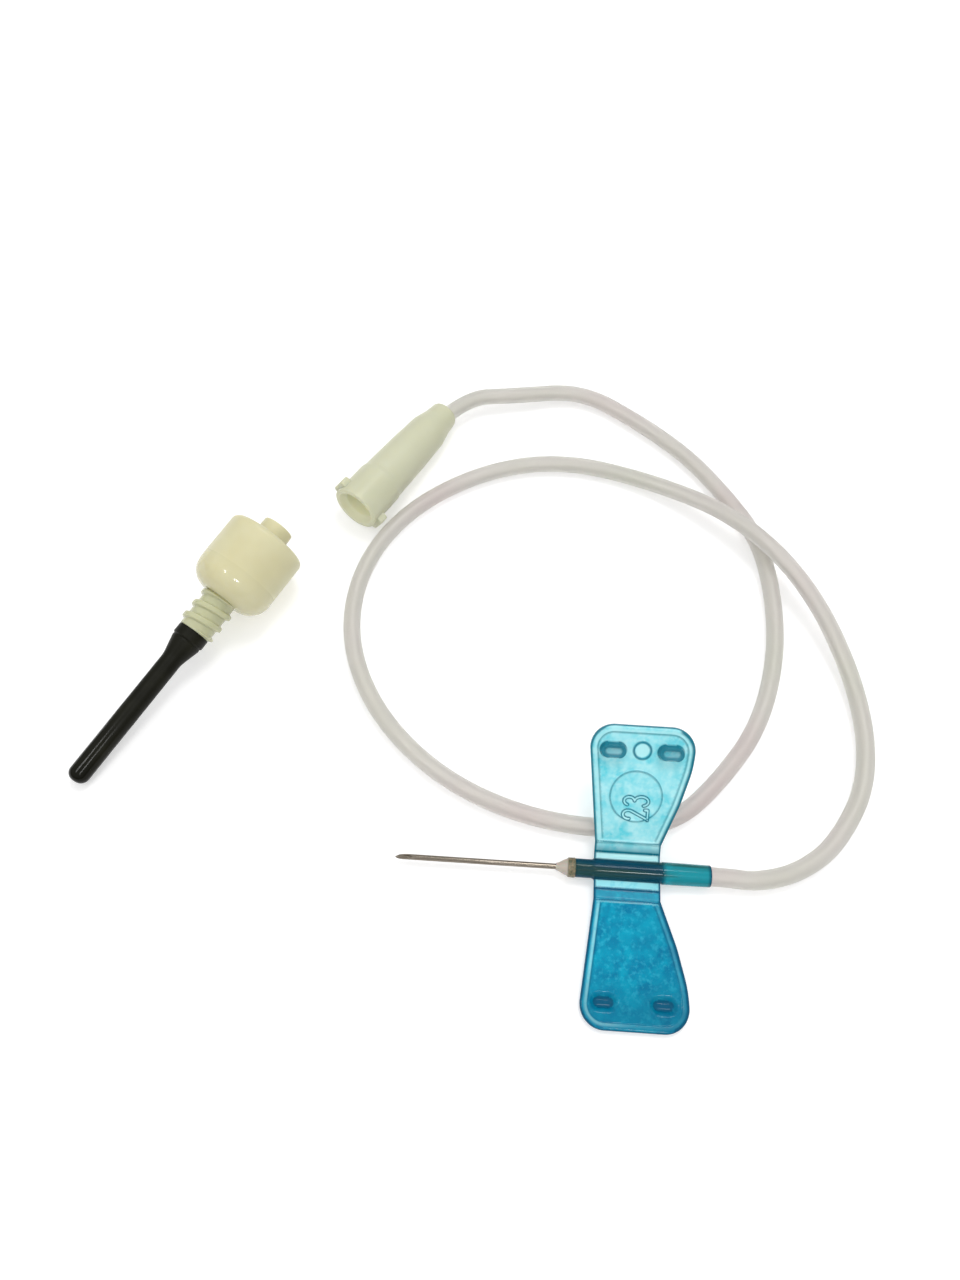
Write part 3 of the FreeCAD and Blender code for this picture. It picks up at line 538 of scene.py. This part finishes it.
def build_wing(name, side, tilt, pegs, material):
    """A wing as one skin: top and underside from the outline, bent up at the fold."""
    outline = refine(rounded(OUTLINE, step=5.0), 0.22)
    rim = np.array([tuple(p) for p in outline])
    on, back = np.roll(rim, -1, 0), np.roll(rim, 1, 0)
    along = on - back
    along /= np.linalg.norm(along, axis=1)[:, None]
    area = (rim[:, 0] * on[:, 1] - rim[:, 1] * on[:, 0]).sum() / 2
    inwards = np.stack([-along[:, 1], along[:, 0]], 1) * np.sign(area)

    def field(fine):
        """Points and faces inside the outline, closer together where the relief is."""
        spots = [rim]
        for d in RIM_ROWS:
            spots.append(rim[::1 if fine else 2] + inwards[::1 if fine else 2] * d)
        step = FINE_STEP if fine else COARSE_STEP
        xs = np.arange(0.6, 13.1, step)
        ws = np.arange(1.2, 17.2, step)
        grid = np.array([(x + (step / 2 if n % 2 else 0), w)
                         for n, w in enumerate(ws) for x in xs])
        keep = run_distance(grid, outline, True) > 1.0
        inside = points_inside(grid, rim)
        grid = grid[keep & inside]
        extra = []
        if fine:
            rows = np.arange(2.2, WEB_REAR, 0.3)
            for w in STEP_ROWS:
                extra += [(x, w) for x in rows]
            for x, w in PEGS:
                for d in PEG_ROWS:
                    length, width = PEG_SIZE[0] + 2 * d, PEG_SIZE[1] + 2 * d
                    reach = (length - width) / 2
                    for k in range(64):
                        a = 2 * math.pi * k / 64
                        extra.append((x + math.copysign(reach, math.cos(a))
                                      + width / 2 * math.cos(a), w + width / 2 * math.sin(a)))
            if pegs:
                for x, w, size in (SMALL_RING, LARGE_RING):
                    for d in RING_ROWS:
                        count = int(2 * math.pi * size / 2 / 0.12)
                        extra += [(x + (size / 2 + d) * math.cos(2 * math.pi * k / count),
                                   w + (size / 2 + d) * math.sin(2 * math.pi * k / count))
                                  for k in range(count)]
                extra += [(x, w) for x in np.arange(4.6, 8.35, 0.07)
                          for w in np.arange(6.2, 9.8, 0.07)]
            extra = np.array(extra)
            near = [((grid[:, None, :] - extra[None, n:n + 400]) ** 2).sum(2).min(1)
                    for n in range(0, len(extra), 400)]
            grid = grid[np.min(near, 0) > 0.06 ** 2]
            spots.append(extra[run_distance(extra, outline, True) > 0.02])
        spots.append(grid)
        spots = np.concatenate(spots)
        count = len(rim)
        edges = [(n, (n + 1) % count) for n in range(count)]
        found = delaunay_2d_cdt([Vector(p) for p in spots], edges, [], 1, 1e-5)
        flat = np.array([tuple(v) for v in found[0]])
        border = {}
        for new, olds in enumerate(found[3]):
            for old in olds:
                if old < count:
                    border[old] = new
        return flat, [tuple(f) for f in found[2]], [border[n] for n in range(count)]

    def heights(flat, top):
        """Height over the wing's middle plane, and distance from the rim."""
        d = run_distance(flat, outline, True)
        w = flat[:, 1]
        half = (WEB_HALF + (NECK_HALF - WEB_HALF) * smooth(2.12, 2.28, w)
                + (PLATE_HALF - NECK_HALF) * smooth(3.22, 3.38, w))
        soft = np.minimum(RIM_ROUND, half * 0.7)
        dip = soft - np.sqrt(np.maximum(soft ** 2 - np.maximum(soft - d, 0) ** 2, 0))
        rise = half - dip
        if top:
            inner = np.minimum(d - 0.72, (w - 3.55))
            rise = rise - PLATE_DIP * smooth(0.0, 0.14, inner)
            if pegs:
                for x, o in PEGS:
                    s = stadium(flat, x, o, PEG_SIZE)
                    rise = rise + PEG_HEIGHT * (1 - smooth(-0.14, 0.04, s))
                    rise = rise - PEG_DISH * (1 - smooth(-0.75, -0.35, s))
                for x, o, size in (SMALL_RING, LARGE_RING):
                    s = np.abs(np.hypot(flat[:, 0] - x, w - o) - size / 2 + 0.12)
                    rise = rise + LINE_HEIGHT * (1 - smooth(0.06, 0.16, s))
                s = np.min([run_distance(flat, stroke) for stroke in DIGITS], 0)
                rise = rise + LINE_HEIGHT * (1 - smooth(0.1, 0.2, s))
            else:
                for x, o in PEGS:
                    s = stadium(flat, x, o, POCKET_SIZE)
                    rise = rise - POCKET_DEPTH * (1 - smooth(-0.85, 0.06, s))
        return rise, d

    def shades(flat, d, top):
        """How dark and how bright the vinyl looks, as painted shade and painted light: rims,
        steps and lines bend the light.
        """
        w = flat[:, 1]

        def line(away, half, share):
            """A soft line of a half width, where away is near 0."""
            return share * (1 - smooth(half * 0.6, half * 1.5, np.abs(away)))

        # painted shade along the rim, wider on the far wing's right side where its side wall is
        # seen, painted shade at the web's step, and painted light on the thin web
        edge = 0.32 + 0.22 * smooth(6, 9, flat[:, 0]) * smooth(3.2, 3.6, w)
        edge = edge - (edge - 0.16) * smooth(16.6, 17.1, w)
        tone = [0.95 * (1 - smooth(edge * 0.5, edge, d)), line(w - WEB_END, 0.16, 1.0)]
        painted_light = [1 - smooth(1.98, 2.12, w)]
        if top:
            # painted shade on the sloped neck strip and at the plate's start, painted light in
            # bands along the rim and just after the plate's start
            plate = smooth(3.6, 4.0, w)
            neck = smooth(2.2, 2.3, w) * (1 - smooth(3.3, 3.45, w))
            fade = 0.6 - 0.5 * smooth(2.3, 3.3, w) if pegs else 0.12
            tone += [neck * fade, line(w - 3.5, 0.08, 0.85), plate * line(d - 0.86, 0.07, 0.55)]
            band = 0.6 if pegs else 0.8 - 0.65 * smooth(2.5, 7.5, flat[:, 0])
            painted_light += [plate * line(d - 0.6, 0.16, 1.0) * band, line(w - 3.66, 0.07, 0.6)]
            # on the near wing, a little painted light on the neck, and painted shade growing
            # towards its outer end and towards +x
            if not pegs:
                painted_light.append(0.1 * neck)
                tone.append(0.4 * smooth(10, 15.5, w) + 0.15 * smooth(6, 11, flat[:, 0]))
            # pegs and pockets painted dark as painted shade, with their outlines darker still,
            # and a painted glint in the middle of each peg
            for x, o in PEGS:
                s = stadium(flat, x, o, PEG_SIZE if pegs else POCKET_PAINTED_SHADE)
                tone.append(0.95 * (1 - smooth(-0.12, 0.06, s)))
                if pegs:
                    tone.append(line(s + 0.08, 0.12, 1.0))
                    tone[-2] = tone[-2] - 0.45 * (1 - smooth(-0.72, -0.5, s))
        # painted shade along the raised rings and digits, painted light inside the small ring and
        # on the digits
        if top and pegs:
            small, large = [np.hypot(flat[:, 0] - x, w - o) - size / 2 + 0.12
                            for x, o, size in (SMALL_RING, LARGE_RING)]
            s = np.min([run_distance(flat, stroke) for stroke in DIGITS], 0)
            tone += [line(small, 0.13, 0.9), line(large, 0.07, 0.85), line(s - 0.16, 0.065, 1.0)]
            painted_light += [1 - smooth(-0.3, -0.15, small), 0.6 * (1 - smooth(0.04, 0.1, s))]
        return np.clip(np.max(tone, 0), 0, 1), np.clip(np.max(painted_light, 0), 0, 1)

    top, top_faces, top_edge = field(fine=True)
    low, low_faces, low_edge = field(fine=False)
    rise, d = heights(top, True)
    drop, e = heights(low, False)
    flat = np.concatenate([top, low])
    z = np.concatenate([rise, -drop])
    # the wing's two marks: painted shade, then painted light
    marks = zip(("tone", "painted_light"), np.hstack([shades(top, d, True), shades(low, e, False)]))
    shift = len(top)
    faces = list(top_faces) + [tuple(n + shift for n in f[::-1]) for f in low_faces]
    count = len(rim)
    for n in range(count):
        m = (n + 1) % count
        faces.append((top_edge[n], low_edge[n] + shift, low_edge[m] + shift, top_edge[m]))
    theta = math.radians(tilt)
    radius = BEND / math.tan(theta / 2)
    verts = []
    for (x, w), h in zip(flat, z):
        if w <= FOLD - BEND:
            y, up = w, h
        elif w >= FOLD + BEND:
            y = FOLD + (w - FOLD) * math.cos(theta) - h * math.sin(theta)
            up = (w - FOLD) * math.sin(theta) + h * math.cos(theta)
        else:
            a = theta * (w - FOLD + BEND) / (2 * BEND)
            y = FOLD - BEND + (radius - h) * math.sin(a)
            up = radius - (radius - h) * math.cos(a)
        verts.append(HUB @ Vector((x, side * y, up)))
    piece = outward(finish_mesh(name, verts, faces, material, 50.0, dict(marks)))
    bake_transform(piece)
    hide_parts(name[:-6])


def points_inside(spots, rim):
    """Which spots lie inside the closed run, by crossings to the right."""
    x, y = spots[:, 0], spots[:, 1]
    inside = np.zeros(len(spots), bool)
    for p, q in zip(rim, np.roll(rim, -1, 0)):
        crosses = (p[1] > y) != (q[1] > y)
        with np.errstate(divide="ignore", invalid="ignore"):
            at = (q[0] - p[0]) * (y - p[1]) / (q[1] - p[1]) + p[0]
        inside ^= crosses & (x < at)
    return inside


build_wing("far_wing_vinyl", 1, FAR_TILT, True, FAR)
build_wing("near_wing_vinyl", -1, NEAR_TILT, False, NEAR)


# --- barrel and adhesive --------------------------------------------------------------

FRONT_R, BARREL_R, TAIL_R, TAIL_END_R = 1.08, 1.23, 1.29, 1.24
CANNULA_R, TUBE_SEAT_R = 0.33, 1.11
BARREL_LENGTH, TUBE_STOP = 15.55, 11.25

# profiles are corners of (x, radius, rounding)
outer = rounded([(0.0, CANNULA_R, 0), (0.0, FRONT_R, 0.1), (1.9, FRONT_R, 0.2),
                 (WEB_FRONT, BARREL_R, 0.15), (9.93, BARREL_R, 0.03), (10.03, TAIL_R, 0.05),
                 (BARREL_LENGTH, TAIL_END_R, 0.08), (BARREL_LENGTH, TUBE_SEAT_R, 0),
                 (TUBE_STOP, TUBE_SEAT_R, 0), (TUBE_STOP, CANNULA_R, 0)])
barrel = lathe("barrel_moulding", refine(outer, 0.4), HUB, BARREL, 96,
               marks={"tone": lambda x, r: smooth(9.8, 10.6, x),
                      "rim": lambda x, r: smooth(15.2, 15.35, x)})
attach(barrel, "set")
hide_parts("wing_hub")


def glue_radius(x, r, a):
    """The glue is a little lumpy outside."""
    if r < 0.4:
        return r
    wave = noise.noise(Vector((x * 2.2, math.cos(a) * r * 1.6, math.sin(a) * r * 1.6)))
    return r + 0.05 * wave * min(1.0, (x + 2.3) * 1.5)


RING_R, CONE_R, CONE_REACH = 1.13, 1.04, -2.23
cone = rounded([(0.0, CANNULA_R, 0), (0.0, RING_R, 0.08), (-0.8, RING_R, 0.1),
                (-0.9, CONE_R, 0.05), (-1.95, 0.5, 0.5), (CONE_REACH, 0.42, 0),
                (CONE_REACH, CANNULA_R, 0)])
cone = lathe("needle_glue_cone", refine(cone, 0.1), HUB, GLUE, 72, glue_radius,
             marks={"tone": lambda x, r: smooth(-1.0, -0.8, x)})
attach(cone, "set")
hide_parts("needle_adhesive")


# --- tubing ---------------------------------------------------------------------------

curve = bpy.data.curves.new("tube_route", "CURVE")
curve.dimensions = "3D"
curve.resolution_u = 14
spline = curve.splines.new("NURBS")
spline.points.add(len(ROUTE) - 1)
for control, spot in zip(spline.points, ROUTE):
    control.co = (*(Vector(spot) * MM), 1.0)
spline.order_u = 3
spline.use_endpoint_u = True
route = bpy.data.objects.new("tube_route", curve)
scene.collection.objects.link(route)
bpy.context.view_layer.update()
line = bpy.data.meshes.new_from_object(route)
path = [Vector(v.co) for v in line.vertices]
bpy.data.objects.remove(route)
path = [p for n, p in enumerate(path) if n == 0 or (p - path[n - 1]).length > 1e-6]


def tube_mesh(name, path, radii, material, turns=40):
    """A hollow tube along a path in metres: outside and bore, joined at both ends."""
    verts, faces = [], []
    ahead = (path[1] - path[0]).normalized()
    side = ahead.orthogonal().normalized()
    rings = []
    for n, spot in enumerate(path):
        new = (path[min(n + 1, len(path) - 1)] - path[max(n - 1, 0)]).normalized()
        side = ahead.rotation_difference(new) @ side
        side = (side - new * side.dot(new)).normalized()
        ahead = new
        other = ahead.cross(side)
        pair = []
        for r in radii:
            pair.append(len(verts))
            for k in range(turns):
                a = 2 * math.pi * k / turns
                verts.append((spot + (side * math.cos(a) + other * math.sin(a)) * r * MM) / MM)
        rings.append(pair)
    for n in range(len(rings) - 1):
        for which in (0, 1):
            a, b = rings[n][which], rings[n + 1][which]
            for k in range(turns):
                m = (k + 1) % turns
                face = (a + k, a + m, b + m, b + k)
                faces.append(face if which == 0 else face[::-1])
    for pair, flip in ((rings[0], True), (rings[-1], False)):
        for k in range(turns):
            m = (k + 1) % turns
            face = (pair[0] + k, pair[0] + m, pair[1] + m, pair[1] + k)
            faces.append(face[::-1] if flip else face)
    return outward(finish_mesh(name, verts, faces, material, sharp=60.0))


TUBE_R, LUMEN_R = 1.1, 0.6
tubing = tube_mesh("tubing_vinyl", path, (TUBE_R, LUMEN_R), TUBE)
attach(tubing, "set")
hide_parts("tubing")


# --- luer connector -------------------------------------------------------------------

MOUTH, MOUTH_R, LEAD_IN_R = 21.0, 3.325, 2.75
LUER_FLOOR, SOCKET_DEPTH, THROUGH_R = 12.0, 7.0, 0.6
body = rounded([(0.0, TUBE_SEAT_R, 0), (0.0, 1.95, 0.75), (2.3, 2.225, 1.6),
                (4.4, 2.725, 1.6), (9.2, 2.975, 6.0), (15.0, 3.15, 0.5), (15.6, 3.3, 0.6),
                (MOUTH, MOUTH_R, 0.12), (MOUTH, LEAD_IN_R, 0.1), (20.1, 2.123, 0.2),
                (LUER_FLOOR, 1.88, 0), (LUER_FLOOR, THROUGH_R, 0),
                (SOCKET_DEPTH, THROUGH_R, 0), (SOCKET_DEPTH, TUBE_SEAT_R, 0)])
# the socket's inside takes the lighter colour, painted light that lifts the shade in the bore, at
# half strength on the lead-in
connector = lathe("connector_moulding", refine(body, 0.6), CONNECTOR, IVORY, 96,
                  marks={"tone": lambda x, r: smooth(11, 13, x) * (r < 2.9)
                         * (1 - 0.5 * smooth(19.9, 20.9, x))})
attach(connector, "set")
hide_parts("luer_connector")


def lug(name, side):
    """One lug of the mouth: a rounded block that grows out of the rim."""
    half, root, top = 1.5, 2.85, 3.9
    section = refine(rounded([(-half, root, 0), (half, root, 0), (half, top, 0.4),
                              (-half, top, 0.4)]), 0.25)
    # each layer's x, and how far it is drawn in
    layers = [(19.1, 0.1), (19.16, 0.03), (19.25, 0.0), (20.25, 0.0), (20.34, 0.03),
              (20.4, 0.1)]
    verts, faces = [], []
    count = len(section)
    for x, inset in layers:
        for p in section:
            verts.append(CONNECTOR @ Vector((x, side * (p.y - inset),
                                             p.x * (1 - inset / half))))
    for n in range(len(layers) - 1):
        for k in range(count):
            m = (k + 1) % count
            faces.append((n * count + k, n * count + m, (n + 1) * count + m,
                          (n + 1) * count + k))
    faces.append(tuple(range(count)))
    faces.append(tuple(range((len(layers) - 1) * count, len(layers) * count)))
    piece = outward(finish_mesh(name, verts, faces, IVORY, sharp=40.0))
    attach(piece, "set")
    return piece


lugs = [lug("connector_lug_a", 1), lug("connector_lug_b", -1)]


# --- adapter --------------------------------------------------------------------------

SLEEVE_END, THREAD_END = 22.8, 28.1
CORE_R, COLLAR_R, COLLAR_BORE_R = 2.1, 5.325, 4.1
COLLAR_RIM, COLLAR_FLOOR = 38.1, 31.0
CONE_TIP, CONE_TIP_R, FLOW_R = 40.15, 2.075, 0.9
REAR_SEAT, REAR_CANNULA_R, NIPPLE_R = 27.0, 0.37, 1.4
THREAD_START, THREAD_PITCH, THREAD_RISE = 22.9, 1.85, 0.42
SHOULDER_END, SHOULDER_LUMP = 32.4, 0.07


def adapter_radius(x, r, a):
    """The holder thread winds round the core as a rounded rib; the shoulder is uneven."""
    if THREAD_END < x < SHOULDER_END and r > 2.5:
        here = Vector((x * 1.3, math.cos(a) * r * 1.3, math.sin(a) * r * 1.3))
        fade = 1 - float(smooth(30.4, SHOULDER_END, x))
        return r + SHOULDER_LUMP * noise.noise(here) * fade
    if not 22.85 < x < 28.3 or r < 1.9 or r > 2.2:
        return r
    phase = ((x - THREAD_START) / THREAD_PITCH - a / (2 * math.pi)) % 1.0
    crest = 1 - float(smooth(0.13, 0.27, abs(phase - 0.5)))
    ends = float(smooth(22.85, 23.1, x)) * (1 - float(smooth(27.8, 28.25, x)))
    return r + THREAD_RISE * crest * ends


shell = rounded([(19.3, REAR_CANNULA_R, 0), (19.3, 0.95, 0.05), (20.3, NIPPLE_R, 0.2),
                 (SLEEVE_END, NIPPLE_R, 0), (SLEEVE_END, CORE_R, 0.1),
                 (THREAD_END, CORE_R, 0.0), (28.12, COLLAR_R, 2.9),
                 (COLLAR_RIM, COLLAR_R, 0.8), (COLLAR_RIM, COLLAR_BORE_R, 0.35),
                 (COLLAR_FLOOR, COLLAR_BORE_R, 0.3), (COLLAR_FLOOR, 2.35, 0.2),
                 (CONE_TIP, CONE_TIP_R, 0.2), (CONE_TIP, FLOW_R, 0.1),
                 (REAR_SEAT, FLOW_R, 0), (REAR_SEAT, REAR_CANNULA_R, 0)], step=6.0)
shell = refine(shell, 0.5)
dense = []
for n, p in enumerate(shell):
    q = shell[(n + 1) % len(shell)]
    dense.append(p)
    if abs(p.y - CORE_R) < 1e-3 and abs(q.y - CORE_R) < 1e-3:
        parts = math.ceil((q - p).length / 0.07)
        dense += [p.lerp(q, k / parts) for k in range(1, parts)]
adapter = lathe("adapter_moulding", dense, ADAPTER, CREAM, 112, adapter_radius, sharp=60.0,
                marks={"tone": lambda x, r: (1 - smooth(27.6, 28.4, x)) * (r < 3),
                       "gloss": lambda x, r: 1 - smooth(31.0, 32.5, x)})
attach(adapter, "set")
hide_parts("adapter_body")


def rubber_radius(x, r, a):
    """The rubber is very slightly uneven outside."""
    if r < 1.0:
        return r
    return r + 0.012 * noise.noise(Vector((x * 0.8, math.cos(a) * 2, math.sin(a) * 2)))


SLEEVE_R, ROOT_R, SLEEVE_BORE_R, NIPPLE_SEAT_R = 1.32, 2.075, 0.75, 1.43
TIP_WALL = 1.5
skin = rounded([(0.0, 0.0, 0), (0.0, SLEEVE_R, 1.1), (18.5, SLEEVE_R, 4.0),
                (21.1, 1.96, 0.3), (21.3, 1.88, 0.06), (21.5, ROOT_R, 0.08),
                (SLEEVE_END, ROOT_R, 0.15), (SLEEVE_END, NIPPLE_SEAT_R, 0),
                (20.27, NIPPLE_SEAT_R, 0), (19.27, 0.98, 0), (19.27, SLEEVE_BORE_R, 0),
                (TIP_WALL, SLEEVE_BORE_R, 0), (TIP_WALL, 0.0, 0)], step=7.0)
sleeve = lathe("sleeve_rubber", refine(skin, 0.6), ADAPTER, RUBBER, 80, rubber_radius,
               sharp=60.0, marks={"tone": lambda x, r: smooth(5.5, 10.0, x)})
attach(sleeve, "set")
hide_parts("rubber_sleeve")


# --- carried-over nodes ---------------------------------------------------------------

for node, material in (("needle_cannula", STEEL), ("rear_cannula", REAR_STEEL),
                       ("rear_adhesive", BEAD)):
    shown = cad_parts[node]
    shown.data.materials.clear()
    shown.data.materials.append(material)


# --- floor ----------------------------------------------------------------------------

REACH = 3.0  # metres to each side
FLOOR_GLOW = 0.22  # takes the lit paper up to white for the rays that see it

mesh = bpy.data.meshes.new("floor")
mesh.from_pydata([(-REACH, -REACH, 0), (REACH, -REACH, 0), (REACH, REACH, 0),
                  (-REACH, REACH, 0)], [], [(0, 1, 2, 3)])
floor = bpy.data.objects.new("floor", mesh)
scene.collection.objects.link(floor)
paper = Look("paper_floor", Roughness=0.75, Emission_Color=(1.0, 1.0, 1.0, 1.0))
paper.shader.inputs["Specular IOR Level"].default_value = 0.1
paper.set("Base Color", paper.ramp(paper.noise(3.0, 2.0), [(0.3, (0.9, 0.9, 0.9, 1)),
                                                           (0.7, (0.93, 0.93, 0.93, 1))]))
rays = paper.add("LightPath").outputs
seen = paper.sum(paper.sum(rays["Is Camera Ray"], rays["Is Glossy Ray"]),
                 rays["Is Transmission Ray"])
paper.set("Emission Strength", paper.spread(seen, 0.0, FLOOR_GLOW, 0.0, 1.0))
floor.data.materials.append(paper.material)
